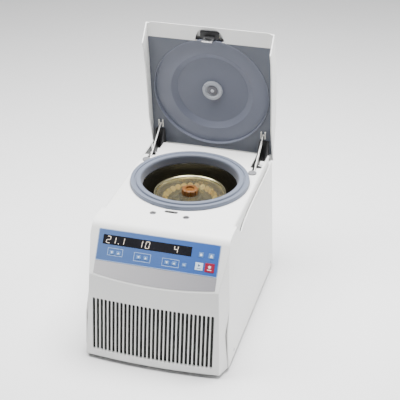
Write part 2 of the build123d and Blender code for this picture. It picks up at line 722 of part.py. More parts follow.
# ---------------------------------------------------------------- mains inlet and switch
with BuildPart() as mains_inlet:
    with BuildSketch(cooling_plane(REAR_Y)):
        with Locations((-70, 45)):
            Rectangle(27.4, 20.4)
    extrude(amount=22)
    with BuildSketch(cooling_plane(REAR_Y + 2.5)):
        with Locations((-70, 45)):
            RectangleRounded(50, 27, 3)
            with GridLocations(40, 0, 2, 1):
                Circle(1.7, mode=Mode.SUBTRACT)
    extrude(amount=2.5)
    with BuildSketch(cooling_plane(REAR_Y + 2.5)):
        with Locations((-70, 45)):
            RectangleRounded(24.4, 16.4, 3)
    extrude(amount=18, mode=Mode.SUBTRACT)
    with BuildSketch(cooling_plane(REAR_Y - 3)):
        with Locations((-77, 43), (-63, 43), (-70, 47)):
            Rectangle(2, 4)
    extrude(amount=13)
write(mains_inlet, "mains_inlet")

with BuildPart() as switch_frame:
    with BuildSketch(cooling_plane(REAR_Y)):
        with Locations((-70, 80)):
            Rectangle(27.4, 21.4)
    extrude(amount=16)
    with BuildSketch(cooling_plane(REAR_Y + 2)):
        with Locations((-70, 80)):
            Rectangle(31, 25)
    extrude(amount=2)
    with BuildSketch(cooling_plane(REAR_Y + 2)):
        with Locations((-70, 80)):
            Rectangle(22, 17)
    extrude(amount=14, mode=Mode.SUBTRACT)
write(switch_frame, "switch_frame")

ROCKER_Y = REAR_Y - 4.0
with BuildPart() as switch_rocker:
    with BuildSketch(Plane.YZ.offset(-70 - 10.6)):
        with BuildLine():
            Polyline(
                (ROCKER_Y - 3, 80), (ROCKER_Y - 1, 87), (ROCKER_Y + 5, 87.6), (ROCKER_Y + 4.6, 80),
                (ROCKER_Y + 8, 72.6), (ROCKER_Y + 1, 73), close=True,
            )
        make_face()
    extrude(amount=21.2)
    fillet(switch_rocker.edges().filter_by(Axis.X), radius=0.6)
write(switch_rocker, "switch_rocker")

# ---------------------------------------------------------------- latch
HOOK_X, HOOK_LOW = 11.0, 10.4
PAWL_Z, PAWL_H = 259.0, 4.0
with BuildPart() as latch_body:
    with BuildSketch(Plane.XY.offset(238)):
        with Locations((0, LATCH_Y - 5)):
            RectangleRounded(46, 28, 2)
    extrude(amount=DECK_Z - WALL - EPS - 238)
    with BuildSketch(Plane.XY.offset(246)):
        with Locations((0, LATCH_Y)):
            SlotOverall(27, LATCH_SLOT_W)
    extrude(amount=30, mode=Mode.SUBTRACT)
    with BuildSketch(Plane.XY.offset(PAWL_Z - 0.3)):
        with Locations((0, LATCH_Y - 9)):
            Rectangle(10.4, 14)
    extrude(amount=PAWL_H + 0.6, mode=Mode.SUBTRACT)
write(latch_body, "latch_body")

with BuildPart() as latch_pawl:
    with BuildSketch(Plane.XY.offset(PAWL_Z)):
        with Locations((0, LATCH_Y - 9.4)):
            Rectangle(10, 11)
    extrude(amount=PAWL_H)
    chamfer(latch_pawl.faces().sort_by(Axis.Y)[-1].edges().sort_by(Axis.Z)[-1], length=3)
write(latch_pawl, "latch_pawl")

with BuildPart() as lid_buffers:
    with BuildSketch(Plane.XY.offset(DECK_Z)):
        with Locations((-113, 104.6), (113, 104.6)):
            Circle(8.5)
    extrude(amount=3.2)
    fillet(lid_buffers.edges().group_by(Axis.Z)[-1], radius=1)
    with BuildSketch(Plane.XY.offset(DECK_Z - WALL - EPS)):
        with Locations(*PADS):
            Circle(PAD_HOLE_R + 2)
    extrude(amount=-5)
    with BuildSketch(Plane.XY.offset(DECK_Z - WALL)):
        with Locations(*PADS):
            Circle(PAD_HOLE_R)
    extrude(amount=-1.4, mode=Mode.SUBTRACT)
write(lid_buffers, "lid_buffers")

# ---------------------------------------------------------------- lid
LID_SKIN = 2.5
DISC_R = 123.2
FLANGE_X = 130.8
FLANGE_LINE = [(-296, 28.4), (-266, -3.2), (-244, 3.5), (-202, 8.8), (-143, 11), (-85, 11), (0, 28.4)]
TOP_LINE = [(LID_FRONT, 34), (-205, CROWN - 2), (-85, CROWN), (LID_REAR, 32)]


def lid_profile(inset):
    """Side outline of the lid above its liner: nose, long crown and sloping back."""
    top = [(y, z - inset) for y, z in TOP_LINE]
    top[0] = (LID_FRONT + inset, top[0][1])
    top[-1] = (LID_REAR - inset, top[-1][1])
    low = LINER_Z + inset
    with BuildSketch(lid_side) as outline:
        with BuildLine():
            FilletPolyline(*top, radius=90)
            Polyline(top[-1], (LID_REAR - inset, low), (LID_FRONT + inset, low), top[0])
        make_face()
    return outline.sketch


def lid_plan(inset):
    """Plan outline of the lid with rounded corners."""
    with BuildSketch(lid) as outline:
        with Locations((0, (LID_FRONT + LID_REAR) / 2)):
            RectangleRounded(2 * (LID_X - inset), LID_REAR - LID_FRONT - 2 * inset, 15 - inset)
    return outline.sketch


def lid_form(inset):
    """The lid as a closed form above its liner, shrunk by an inset."""
    with BuildPart() as form:
        extrude(lid_profile(inset), amount=LID_X - inset, both=True)
        extrude(lid_plan(inset), amount=200, both=True, mode=Mode.INTERSECT)
    return form


def on_top_rim(edge):
    """Whether an edge belongs to the rim of the lid's top face."""
    place = lid.to_local_coords(edge.center())
    end = min(abs(place.Y - LID_FRONT), abs(place.Y - LID_REAR)) < 1
    return place.Z > TOP_LINE[-1][1] - 1 and (abs(place.X) > 100 or end)


with BuildPart() as lid_shell:
    add(lid_form(0).part)
    fillet(lid_shell.edges().filter_by(on_top_rim), radius=9)
    with BuildSketch(lid_side.offset(-LID_X)):
        with BuildLine():
            Polyline(*FLANGE_LINE, (0, 31), (FLANGE_LINE[0][0], 31), close=True)
        make_face()
    extrude(amount=2 * LID_X)
    add(lid_form(LID_SKIN).part, mode=Mode.SUBTRACT)
    with BuildSketch(lid.offset(-10)):
        with Locations((0, -150)):
            Rectangle(2 * FLANGE_X, 330)
    extrude(amount=10 + LINER_Z, mode=Mode.SUBTRACT)
    with BuildSketch(lid.offset(LINER_Z)):
        with Locations((0, -140)):
            Rectangle(2 * FLANGE_X - 1, 252)
    extrude(amount=LID_SKIN + 1, mode=Mode.SUBTRACT)
    with BuildSketch(lid.offset(LINER_Z)):  # hook recess in the nose
        with Locations((0, -268)):
            Circle(30)
        with Locations((0, -228)):
            Rectangle(80, 80, mode=Mode.SUBTRACT)
        with Locations((0, LID_DISC_Y)):
            Circle(DISC_R + 0.4)
    extrude(amount=LID_SKIN + 1, mode=Mode.SUBTRACT)
write(lid_shell, "lid_shell")

with BuildPart() as lid_liner:
    with BuildSketch(lid.offset(LINER_Z)):
        with Locations((0, -140)):
            Rectangle(2 * FLANGE_X - 1.6, 251)
        with Locations((0, LID_DISC_Y)):
            Circle(DISC_R + 0.4, mode=Mode.SUBTRACT)
    extrude(amount=2)
write(lid_liner, "lid_liner")

lid_axis_plane = Plane(origin=lid.from_local_coords((0, LID_DISC_Y, 0)), x_dir=(1, 0, 0), z_dir=-lid.y_dir)
LID_SPIN = Axis(lid.from_local_coords((0, LID_DISC_Y, 0)), lid.z_dir)
DISH_Z = 43.0  # the disc's dished middle, in the lid's own Z
SEAT_Z = 34.6  # the flat that meets the chamber seal
with BuildPart() as sealing_disc:
    with BuildSketch(lid_axis_plane):
        with BuildLine():
            Polyline(
                (19, DISH_Z), (76, DISH_Z), (88, SEAT_Z), (120.9, SEAT_Z), (121.3, 27.6), (DISC_R, 27.6),
                (DISC_R, SEAT_Z + 2.2), (89, SEAT_Z + 2.2), (77, DISH_Z + 2.4), (19, DISH_Z + 2.4),
                close=True,
            )
        make_face()
    revolve(axis=LID_SPIN)
write(sealing_disc, "sealing_disc")

with BuildPart() as viewing_port:
    with BuildSketch(lid_axis_plane):
        with BuildLine():
            Polyline(
                (0, DISH_Z - 2), (14, DISH_Z - 2), (15.5, DISH_Z - 5), (20.5, DISH_Z - 5),
                (21.5, DISH_Z - 2.5), (21.5, DISH_Z - 0.1), (18.9, DISH_Z - 0.1), (18.9, DISH_Z + 5),
                (0, DISH_Z + 5), close=True,
            )
        make_face()
    revolve(axis=LID_SPIN)
write(viewing_port, "viewing_port")

with BuildPart() as latch_hook:
    with BuildSketch(lid.offset(LINER_Z + 3.7)):
        with Locations((0, -280)):
            Rectangle(40, 16)
    extrude(amount=-1.5)
    with BuildSketch(Plane(origin=lid.from_local_coords((0, LATCH_Y - HINGE_Y - 1.5, 0)), x_dir=(1, 0, 0),
                           z_dir=-lid.y_dir)):
        with Locations((0, (HOOK_LOW + LINER_Z + 3) / 2)):
            Rectangle(2 * HOOK_X, LINER_Z + 3 - HOOK_LOW)
        with Locations((0, 18.6)):
            Rectangle(14, 9, mode=Mode.SUBTRACT)
    extrude(amount=-3)
write(latch_hook, "latch_hook")

# ---------------------------------------------------------------- hinge
PIN_R = 4.0
ARM_MID = (ARM_X0 + ARM_X1) / 2
CHEEK = 3.2
with BuildPart() as hinge_arms:
    for side in (-1, 1):
        with BuildSketch(lid_side.offset(side * ARM_MID)):
            with BuildLine():
                Polyline(
                    (-47, 28.3), (2, 28.3), (9, 4), (9, -4), (4, -9), (-5, -9), (-47, 22), close=True,
                )
            make_face()
            Circle(PIN_R + 0.05, mode=Mode.SUBTRACT)
        extrude(amount=(ARM_X1 - ARM_X0) / 2, both=True)
        with BuildSketch(lid_side.offset(side * ARM_MID)):
            with Locations((-35, 0.2)):
                Rectangle(90, 50)
        extrude(amount=(ARM_X1 - ARM_X0) / 2 - CHEEK, both=True, mode=Mode.SUBTRACT)
write(hinge_arms, "hinge_arms")

with BuildPart() as hinge_pins:
    for side in (-1, 1):
        with BuildSketch(Plane.YZ.offset(side * 97)):
            with Locations((HINGE_Y, HINGE_Z)):
                Circle(PIN_R)
        extrude(amount=side * 29.6)
write(hinge_pins, "hinge_pins")

with BuildPart() as hinge_brackets:
    for side in (-1, 1):
        with BuildSketch(Plane.YZ.offset(side * 97)):
            with BuildLine():
                Polyline(
                    (HINGE_Y - 9, 200), (190, 200), (190, HINGE_Z + 4), (HINGE_Y + 3, HINGE_Z + 8),
                    (HINGE_Y - 7, HINGE_Z + 5), (HINGE_Y - 9, 226), close=True,
                )
            make_face()
            with Locations((HINGE_Y, HINGE_Z)):
                Circle(PIN_R + 0.02, mode=Mode.SUBTRACT)
        extrude(amount=side * 29.6)
        with BuildSketch(Plane.YZ.offset(side * (ARM_X0 - 1))):
            with Locations((HINGE_Y, HINGE_Z + 5)):
                Rectangle(40, 36)
        extrude(amount=side * (ARM_X1 - ARM_X0 + 2), mode=Mode.SUBTRACT)
        with BuildSketch(Plane.YZ.offset(side * 100)):
            with Locations((HINGE_Y - 6, 210)):
                Rectangle(20, 24)
        extrude(amount=side * 25.5, mode=Mode.SUBTRACT)
write(hinge_brackets, "hinge_brackets")

# ---------------------------------------------------------------- stays
STAY_TOP = (204.3, 308.5)  # upper pivot of each stay, lid open
STAY_SLOPE, STAY_L, STAY_R, STAY_PIN = 31.0, 128.0, 2.4, 0.9
stay_dir = Vector(0, -cos(radians(STAY_SLOPE)), -sin(radians(STAY_SLOPE)))
with BuildPart() as stay_rods:
    for side in (-1, 1):
        top = Vector(side * STAY_X, *STAY_TOP)
        with BuildSketch(Plane(origin=top + stay_dir * 1.2, x_dir=(1, 0, 0), z_dir=stay_dir)):
            Circle(STAY_R)
        extrude(amount=STAY_L)
        with BuildSketch(Plane.YZ.offset(side * STAY_X)):
            with Locations(STAY_TOP):
                Circle(1.7)
        extrude(amount=2.4, both=True)
        with BuildSketch(Plane.YZ.offset(side * STAY_X)):
            with Locations(STAY_TOP):
                Circle(STAY_PIN + 0.04)
        extrude(amount=STAY_R + 1, both=True, mode=Mode.SUBTRACT)
write(stay_rods, "stay_rods")

stay_local = lid.to_local_coords(Vector(0, *STAY_TOP))
with BuildPart() as stay_clips:
    for side in (-1, 1):
        for ear in (-4.2, 4.2):
            with BuildSketch(lid_side.offset(side * STAY_X + ear)):
                with Locations((stay_local.Y, LINER_Z - 1.9)):
                    Rectangle(16, 3.7)
            extrude(amount=1.2, both=True)
        with BuildSketch(Plane.YZ.offset(side * STAY_X)):
            with Locations(STAY_TOP):
                Circle(STAY_PIN)
        extrude(amount=4.5, both=True)
write(stay_clips, "stay_clips")

with BuildPart() as stay_guides:
    for side in (-1, 1):
        with BuildSketch(Plane.XY.offset(254)):
            with Locations((side * (STAY_X + 2), 117)):
                Rectangle(17.5, 46)
            with Locations((side * STAY_X, 117)):
                SlotOverall(39, 9, rotation=90, mode=Mode.SUBTRACT)
        extrude(amount=6)
write(stay_guides, "stay_guides")
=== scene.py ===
"""Looks of the bench-top centrifuge: finishes, lit display, printed graphics, studio and camera."""

import json
import math

import bmesh
import bpy
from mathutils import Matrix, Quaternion, Vector


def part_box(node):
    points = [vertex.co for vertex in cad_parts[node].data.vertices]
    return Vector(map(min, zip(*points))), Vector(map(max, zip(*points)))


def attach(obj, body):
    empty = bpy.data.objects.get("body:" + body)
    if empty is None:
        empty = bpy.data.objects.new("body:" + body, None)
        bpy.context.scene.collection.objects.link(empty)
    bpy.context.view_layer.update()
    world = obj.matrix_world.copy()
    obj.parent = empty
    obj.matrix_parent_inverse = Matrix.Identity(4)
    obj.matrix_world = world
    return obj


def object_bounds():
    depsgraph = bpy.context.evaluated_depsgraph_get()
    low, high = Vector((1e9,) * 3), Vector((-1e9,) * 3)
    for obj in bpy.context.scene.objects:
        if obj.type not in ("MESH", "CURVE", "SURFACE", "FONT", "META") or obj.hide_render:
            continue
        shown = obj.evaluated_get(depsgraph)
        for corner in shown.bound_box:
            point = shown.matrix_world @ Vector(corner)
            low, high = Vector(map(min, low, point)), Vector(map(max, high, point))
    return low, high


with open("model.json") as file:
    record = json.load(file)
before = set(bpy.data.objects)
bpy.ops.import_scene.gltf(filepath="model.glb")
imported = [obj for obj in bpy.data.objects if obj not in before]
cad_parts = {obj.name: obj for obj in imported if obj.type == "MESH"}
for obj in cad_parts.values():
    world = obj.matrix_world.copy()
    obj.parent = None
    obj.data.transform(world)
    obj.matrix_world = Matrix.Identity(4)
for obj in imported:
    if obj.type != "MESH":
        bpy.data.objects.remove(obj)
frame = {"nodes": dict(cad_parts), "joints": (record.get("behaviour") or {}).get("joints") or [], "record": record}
NODES = frame["nodes"]
RECORD = frame["record"]
START_SIZE = [list(corner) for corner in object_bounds()]
MM = 0.001


# Materials -------------------------------------------------------------------------------------
class Look:
    """One Principled material, built up a layer at a time."""

    def __init__(self, name, colour, roughness, metallic=0.0):
        self.material = bpy.data.materials.new(name)
        self.material.use_nodes = True
        tree = self.material.node_tree
        self.nodes, self.links = tree.nodes, tree.links
        self.shader = self.nodes["Principled BSDF"]
        self.shader.inputs["Base Color"].default_value = (*colour, 1)
        self.shader.inputs["Roughness"].default_value = roughness
        self.shader.inputs["Metallic"].default_value = metallic
        self.place = self.nodes.new("ShaderNodeTexCoord").outputs["Object"]
        self.normal = None

    def setting(self, **values):
        """Plain socket values; an underscore stands for a space."""
        for name, value in values.items():
            self.shader.inputs[name.replace("_", " ")].default_value = value
        return self

    def stretched(self, scale):
        """Object coordinates, scaled on each axis."""
        node = self.nodes.new("ShaderNodeMapping")
        node.inputs["Scale"].default_value = scale
        self.links.new(self.place, node.inputs["Vector"])
        return node.outputs["Vector"]

    def split(self):
        """The object coordinates, as separate X, Y and Z outputs."""
        node = self.nodes.new("ShaderNodeSeparateXYZ")
        self.links.new(self.place, node.inputs[0])
        return node.outputs

    def reach(self, y):
        """Distance from an upright axis at y."""
        place = self.split()
        flat = self.nodes.new("ShaderNodeCombineXYZ")
        self.links.new(place["X"], flat.inputs["X"])
        self.links.new(self.math("SUBTRACT", place["Y"], y), flat.inputs["Y"])
        length = self.nodes.new("ShaderNodeVectorMath")
        length.operation = "LENGTH"
        self.links.new(flat.outputs[0], length.inputs[0])
        return length.outputs["Value"]

    def turned(self, y, fine):
        """Coordinates that run only with the distance from an upright axis at y and with height."""
        rings = self.nodes.new("ShaderNodeCombineXYZ")
        self.links.new(self.math("MULTIPLY", self.reach(y), fine), rings.inputs["X"])
        self.links.new(self.math("MULTIPLY", self.split()["Z"], fine), rings.inputs["Y"])
        return rings.outputs[0]

    def math(self, kind, source, value):
        node = self.nodes.new("ShaderNodeMath")
        node.operation = kind
        self.links.new(source, node.inputs[0])
        node.inputs[1].default_value = value
        return node.outputs[0]

    def noise(self, scale, detail=4.0, vector=None):
        node = self.nodes.new("ShaderNodeTexNoise")
        node.inputs["Scale"].default_value = scale
        node.inputs["Detail"].default_value = detail
        self.links.new(vector or self.place, node.inputs["Vector"])
        return node.outputs["Fac"]

    def cells(self, scale, output="Distance"):
        node = self.nodes.new("ShaderNodeTexVoronoi")
        node.inputs["Scale"].default_value = scale
        self.links.new(self.place, node.inputs["Vector"])
        return node.outputs[output]

    def ramp(self, source, low, high, start=0.3, stop=0.7):
        """source from start to stop becomes low to high, which are numbers."""
        node = self.nodes.new("ShaderNodeMapRange")
        for name, value in zip(("From Min", "From Max", "To Min", "To Max"), (start, stop, low, high)):
            node.inputs[name].default_value = value
        self.links.new(source, node.inputs["Value"])
        return node.outputs["Result"]

    def tint(self, source, low, high, start=0.3, stop=0.7):
        """Base colour from low to high, following source."""
        node = self.nodes.new("ShaderNodeValToRGB")
        for stopper, at, colour in zip(node.color_ramp.elements, (start, stop), (low, high)):
            stopper.position, stopper.color = at, (*colour, 1)
        self.links.new(source, node.inputs["Fac"])
        self.links.new(node.outputs["Color"], self.shader.inputs["Base Color"])
        return self

    def rough(self, source, low, high):
        self.links.new(self.ramp(source, low, high), self.shader.inputs["Roughness"])
        return self

    def rounded(self, radius):
        """Edges catch the light as if they had this radius."""
        node = self.nodes.new("ShaderNodeBevel")
        node.samples = 4
        node.inputs["Radius"].default_value = radius
        self.normal = node.outputs["Normal"]
        self.links.new(self.normal, self.shader.inputs["Normal"])
        return self

    def bump(self, source, depth, strength=1.0):
        node = self.nodes.new("ShaderNodeBump")
        node.inputs["Distance"].default_value = depth
        node.inputs["Strength"].default_value = strength
        self.links.new(source, node.inputs["Height"])
        if self.normal is not None:
            self.links.new(self.normal, node.inputs["Normal"])
        self.normal = node.outputs["Normal"]
        self.links.new(self.normal, self.shader.inputs["Normal"])
        return self


def shade(colour, factor):
    return tuple(min(1.0, c * factor) for c in colour)


def moulded(name, colour, roughness, grain=1400, depth=0.00005, edge=0.0005, spread=0.04):
    """Injection-moulded or painted surface with a fine texture."""
    look = Look(name, colour, roughness).rounded(edge)
    cloud = look.noise(9, 3)
    look.tint(cloud, shade(colour, 1 - spread), shade(colour, 1 + spread))
    look.rough(look.noise(35, 3), roughness - 0.05, roughness + 0.07)
    return look.bump(look.noise(grain, 2), depth, 0.5)


def brushed(name, colour, roughness, stretch=(40, 1200, 1200)):
    look = Look(name, colour, roughness, 1.0).rounded(0.0004)
    lines = look.noise(1.0, 3, look.stretched(stretch))
    look.tint(lines, shade(colour, 0.88), shade(colour, 1.08))
    look.rough(lines, roughness - 0.07, roughness + 0.1)
    return look.bump(lines, 0.00002, 0.4)


def spun(name, colour, roughness, y, fine=900):
    """Turned or spun metal, its marks running round an upright axis."""
    look = Look(name, colour, roughness, 1.0).rounded(0.0004)
    marks = look.noise(1.0, 3, look.turned(y, fine))
    look.tint(marks, shade(colour, 0.86), shade(colour, 1.1))
    look.rough(marks, roughness - 0.06, roughness + 0.1)
    return look.bump(marks, 0.00003, 0.5)


def rotor_metal(name, rim, inner, roughness, y):
    """Turned, anodised alloy, its middle much darker than its rim."""
    look = spun(name, rim, roughness, y, fine=1300)
    out = look.ramp(look.reach(y), 0.0, 1.0, *ROTOR_RIM)
    return look.tint(out, inner, rim, 0.0, 1.0)


def rubber(name, colour):
    look = moulded(name, colour, 0.62, grain=900, depth=0.00008)
    return look.setting(Sheen_Weight=0.15)


def ring_rubber(name, wall, top, y):
    """Rubber ring round an upright axis, its inner wall darker than its top: painted shade on the wall that faces
    away from the light.
    """
    look = rubber(name, top)
    out = look.ramp(look.reach(y), 0.0, 1.0, *SEAL_SHADE_RADII)
    return look.tint(out, wall, top, 0.0, 1.0)


def zinc(name, colour):
    look = Look(name, colour, 0.4, 1.0).rounded(0.0005)
    look.tint(look.cells(70, "Color"), shade(colour, 0.8), shade(colour, 1.15), 0.2, 0.8)
    look.rough(look.cells(70, "Color"), 0.3, 0.5)
    return look.bump(look.noise(300, 3), 0.00003, 0.4)


def foil(name, colour, bright, roughness):
    """Printed overlay, a little paler towards its left end: painted light falling from the left."""
    look = Look(name, colour, roughness).rounded(0.0003)
    along = look.ramp(look.split()["X"], 0.0, 1.0, -FOIL_REACH, FOIL_REACH)
    look.tint(along, bright, colour, 0.0, 1.0)
    look.rough(look.noise(60, 3), roughness - 0.05, roughness + 0.06)
    look.setting(Coat_Weight=0.15, Coat_Roughness=0.2)
    return look.bump(look.noise(2200, 1), 0.00002, 0.4)


def smoked(name, colour):
    look = Look(name, colour, 0.1).rounded(0.0003)
    look.tint(look.noise(14, 2), shade(colour, 0.8), shade(colour, 1.3))
    look.rough(look.noise(45, 4), 0.06, 0.16)
    return look.setting(Coat_Weight=0.5, Coat_Roughness=0.04)


def clear(name, colour, roughness, index):
    look = Look(name, colour, roughness).setting(IOR=index, Transmission_Weight=0.97)
    look.tint(look.noise(20, 2), shade(colour, 0.96), shade(colour, 1.03))
    look.rough(look.noise(70, 3), roughness, roughness + 0.03)
    return look


def cloudy(name, colour, roughness):
    """Half-clear moulded plastic."""
    look = moulded(name, colour, roughness, depth=0.00002)
    return look.setting(Transmission_Weight=0.25, Subsurface_Weight=0.1, Subsurface_Scale=0.002)


def foamed(name, colour):
    look = Look(name, colour, 0.9).rounded(0.001)
    cells = look.cells(450)
    look.tint(cells, shade(colour, 0.75), shade(colour, 1.05), 0.0, 0.6)
    look.rough(look.noise(200, 2), 0.8, 0.95)
    return look.bump(cells, 0.0004, 0.7)


def glowing(name, colour, strength):
    """Lit segments, their tone varying a little at random."""
    look = Look(name, colour, 0.4)
    look.tint(look.noise(400, 2), shade(colour, 0.8), colour)
    look.rough(look.noise(300, 2), 0.35, 0.5)
    return look.setting(Emission_Color=(*colour, 1), Emission_Strength=strength)


SEAL_SHADE_RADII = (0.0975, 0.1005)  # radii over which the painted shade of the seal's inner wall gives way to its top colour
ROTOR_RIM = (0.064, 0.069)  # radii over which the rotor's dark middle turns into its bright rim
FOIL_REACH = 0.12  # from the middle of the panel to where a foil's painted light stops changing
AXIS_Y = sum(corner.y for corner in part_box("chamber_bowl")) / 2
WHITE = (0.80, 0.80, 0.785)
LOOKS = {
    "housing": moulded("powder_coat", WHITE, 0.42, grain=1100, depth=0.00006, edge=0.0012, spread=0.012),
    "zinc_steel": zinc("zinc_plate", (0.55, 0.56, 0.58)),
    "black_rubber": rubber("black_rubber", (0.022, 0.022, 0.024)),
    # grey_rubber: the dark first colour is painted shade on the seal's inner wall
    "grey_rubber": ring_rubber("grey_silicone", (0.045, 0.05, 0.068), (0.103, 0.121, 0.165), AXIS_Y),
    "bright_steel": brushed("bright_steel", (0.62, 0.62, 0.63), 0.28),
    # blue_foil, grey_foil: the paler second colour is painted light at the panel's left end
    "blue_foil": foil("blue_overlay", (0.028, 0.092, 0.33), (0.075, 0.135, 0.29), 0.38),
    "grey_foil": foil("silver_overlay", (0.28, 0.275, 0.295), (0.44, 0.43, 0.44), 0.4),
    "dark_window": smoked("smoked_acrylic", (0.008, 0.008, 0.011)),
    "black_plastic": moulded("black_plastic", (0.02, 0.02, 0.021), 0.5),
    "green_board": moulded("solder_resist", (0.02, 0.12, 0.05), 0.35, grain=500, spread=0.2),
    "chamber_steel": spun("chamber_steel", (0.17, 0.165, 0.15), 0.3, AXIS_Y),
    "copper": brushed("drawn_copper", (0.62, 0.30, 0.18), 0.35),
    "foam": foamed("jacket_foam", (0.5, 0.48, 0.38)),
    "cast_alloy": moulded("cast_alloy", (0.45, 0.46, 0.47), 0.5, grain=500, depth=0.0001),
    "anodised": rotor_metal("anodised_alloy", (0.55, 0.50, 0.30), (0.045, 0.033, 0.010), 0.26, AXIS_Y),
    "tube_plastic": cloudy("polypropylene", (0.42, 0.31, 0.075), 0.28),
    "clear_lid": clear("clear_polycarbonate", (0.90, 0.83, 0.58), 0.005, 1.3),
    "amber_plastic": moulded("amber_plastic", (0.13, 0.05, 0.01), 0.3, depth=0.00002),
    "black_paint": moulded("black_enamel", (0.018, 0.018, 0.019), 0.25).setting(Coat_Weight=0.6),
    "cream_plastic": moulded("cream_plastic", (0.62, 0.61, 0.57), 0.45),
    "liner_plastic": moulded("liner_plastic", (0.138, 0.150, 0.195), 0.45, grain=900, depth=0.00007),
    "port_plastic": moulded("port_plastic", (0.42, 0.44, 0.48), 0.3),
    "key_plastic": moulded("embossed_blue", (0.11, 0.22, 0.45), 0.35, depth=0.00002),
    "white_key": moulded("embossed_white", (0.55, 0.68, 0.85), 0.35, depth=0.00002),
    "red_key": moulded("embossed_red", (0.26, 0.010, 0.036), 0.35, depth=0.00002),
}
OWN_LOOKS = {  # CAD nodes that don't take the look of their slot
    "stay_rods": brushed("drawn_wire", (0.30, 0.295, 0.285), 0.32),
    # lid_buffers: far darker than their pale moulding, painted shade of the holes they sit in
    "lid_buffers": moulded("pad_painted_shade", (0.17, 0.17, 0.18), 0.5),
    "lid_liner": moulded("liner_sheet", (0.085, 0.094, 0.118), 0.5, grain=900, depth=0.00007),
}
PRINT_PALE = moulded("pale_ink", (0.33, 0.46, 0.68), 0.4, depth=0.00001)
PRINT_WHITE = moulded("white_ink", (0.82, 0.84, 0.88), 0.4, depth=0.00001)
PRINT_DARK = moulded("dark_ink", (0.05, 0.08, 0.16), 0.4, depth=0.00001)
LIT = glowing("lit_segment", (0.80, 0.70, 0.58), 0.7)


def finish_nodes():
    """Each CAD node takes the look of its material slot, or one of its own."""
    for part in RECORD["subparts"]:
        node = NODES[part["node"]]
        look = OWN_LOOKS.get(part["node"]) or LOOKS[part["material_slot"]]
        node.data.materials.clear()
        node.data.materials.append(look.material)


# The sloping key panel ---------------------------------------------------------------------------
LEAN = math.radians(31.7)  # of the fascia, from upright
FOIL_T = 0.5 * MM
UP = Vector((0, math.sin(LEAN), math.cos(LEAN)))
OUT = Vector((0, -math.cos(LEAN), math.sin(LEAN)))
PRINT_T = 0.12 * MM


def panel_base(node):
    """The middle of the lower edge of a node's outer face, on the slope."""
    low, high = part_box(node)
    run = (high.z - low.z - FOIL_T * math.sin(LEAN)) / math.cos(LEAN)
    return Vector((0, low.y, high.z - run * math.cos(LEAN)))


FOIL_BASE = panel_base("control_foil")


def on_panel(x, up, out=0.0):
    """A point on the key foil: across from its middle, up the slope from its lower edge, and proud of it."""
    return FOIL_BASE + Vector((x, 0, 0)) + UP * up + OUT * out


def panel_place(point):
    """(across, up, out) of a point in the row frame."""
    offset = Vector(point) - FOIL_BASE
    return offset.x, offset.dot(UP), offset.dot(OUT)


def centre_of(node):
    """(across, up, out) of the middle of a node on the panel."""
    low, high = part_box(node)
    return panel_place((low + high) / 2)


def prisms(name, outlines, out, look, body, thick=PRINT_T):
    """One piece made of flat shapes on the panel, each a list of (across, up)."""
    mesh = bmesh.new()
    for outline in outlines:
        top = [mesh.verts.new(on_panel(x, up, out + thick)) for x, up in outline]
        foot = [mesh.verts.new(on_panel(x, up, out)) for x, up in outline]
        mesh.faces.new(top)
        mesh.faces.new(foot[::-1])
        for i, vert in enumerate(top):
            j = (i + 1) % len(top)
            mesh.faces.new((vert, foot[i], foot[j], top[j]))
    bmesh.ops.recalc_face_normals(mesh, faces=mesh.faces)
    return as_piece(name, mesh, look, body)


def as_piece(name, mesh, look, body):
    data = bpy.data.meshes.new(name)
    mesh.to_mesh(data)
    mesh.free()
    data.materials.append(look.material)
    piece = bpy.data.objects.new(name, data)
    bpy.context.scene.collection.objects.link(piece)
    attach(piece, body)
    return piece


def box_outline(left, low, right, high):
    return [(left, low), (right, low), (right, high), (left, high)]


def frame_lines(left, low, right, high, wide):
    """Four thin bars round a box."""
    return [
        box_outline(left, low, right, low + wide),
        box_outline(left, high - wide, right, high),
        box_outline(left, low + wide, left + wide, high - wide),
        box_outline(right - wide, low + wide, right, high - wide),
    ]


def disc_outline(x, up, radius, steps=24):
    turns = [2 * math.pi * i / steps for i in range(steps)]
    return [(x + radius * math.cos(t), up + radius * math.sin(t)) for t in turns]


# Segment display
DIGIT_W, DIGIT_H, STROKE, SLANT = 8.0 * MM, 13.4 * MM, 1.15 * MM, 0.12
SEGMENTS = {"0": "abcdef", "1": "bc", "2": "abged", "4": "fgbc"}
READOUTS = {  # digits and the window share at which each stands
    "readout_speed": (("2", 0.058), ("1", 0.118), ("1", 0.215)),
    "readout_time": (("1", 0.42), ("0", 0.50)),
    "readout_temperature": (("4", 0.82),),
}
POINT_SHARE, POINT_UP, POINT_R = 0.178, 1.1 * MM, 0.9 * MM  # the decimal point


def bar(x0, up0, x1, up1):
    """A segment with pointed ends."""
    half = STROKE / 2
    if abs(x1 - x0) > abs(up1 - up0):
        return [
            (x0, up0), (x0 + half, up0 - half), (x1 - half, up1 - half),
            (x1, up1), (x1 - half, up1 + half), (x0 + half, up0 + half),
        ]
    return [
        (x0, up0), (x0 + half, up0 + half), (x1 + half, up1 - half),
        (x1, up1), (x1 - half, up1 - half), (x0 - half, up0 + half),
    ]


def digit(figure, x, up):
    """Outlines of one figure, x and up at its lower left, leaning a little to the right."""
    w, h, g = DIGIT_W - STROKE, DIGIT_H - STROKE, 0.25 * MM
    bars = {
        "a": bar(g, h, w - g, h), "g": bar(g, h / 2, w - g, h / 2), "d": bar(g, 0, w - g, 0),
        "f": bar(0, h / 2 + g, 0, h - g), "b": bar(w, h / 2 + g, w, h - g),
        "e": bar(0, g, 0, h / 2 - g), "c": bar(w, g, w, h / 2 - g),
    }
    lit = [bars[s] for s in SEGMENTS[figure]]
    half = STROKE / 2
    return [[(x + half + a + SLANT * b, up + half + b) for a, b in outline] for outline in lit]


